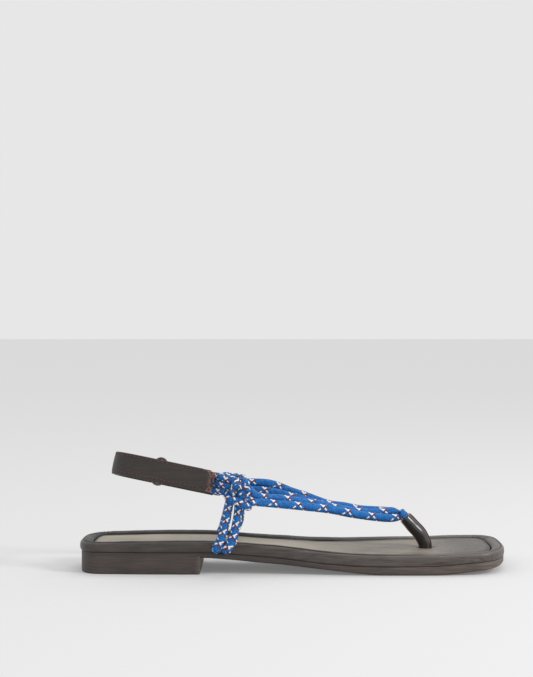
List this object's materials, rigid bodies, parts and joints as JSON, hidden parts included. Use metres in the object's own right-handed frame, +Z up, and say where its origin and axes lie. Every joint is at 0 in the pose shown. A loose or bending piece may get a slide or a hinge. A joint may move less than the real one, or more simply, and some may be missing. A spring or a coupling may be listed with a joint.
{
  "type": "rope sandal",
  "caption": "Flat rope thong sandal: leather-wrapped footbed on a moulded sole with a low heel, toe post, knotted cord upper and leather slingback strap.",
  "frame": {"origin": "on the floor, at the middle of the heel's flat bottom", "axes": "+X forwards to the toe, +Y to the inner (medial) side, +Z up"},
  "size_m": [0.25, 0.0929, 0.0699],
  "materials": {
    "sole_rubber": "matt moulded rubber, reddish dark brown",
    "footbed_leather": "smooth dark brown leather, satin",
    "insole_leather": "smooth dark brown leather, fine grain, satin sheen",
    "post_leather": "glossy dark brown leather",
    "braided_cord": "braided blue cord with white and brown tracer yarns",
    "strap_leather": "dark brown leather with red-brown edge stitching",
    "hook_and_loop": "fuzzy red-brown hook-and-loop tape",
    "dark_wire": "dark grey plated wire"
  },
  "bodies": {
    "root": {"outsole": "sole_rubber", "footbed_wrap": "footbed_leather", "insole_panel": "insole_leather", "toe_post": "post_leather", "rope_upper": "braided_cord", "heel_strap": "strap_leather", "strap_tab": "strap_leather", "hook_patch": "hook_and_loop", "strap_ring": "dark_wire"}
  },
  "joints": []
}
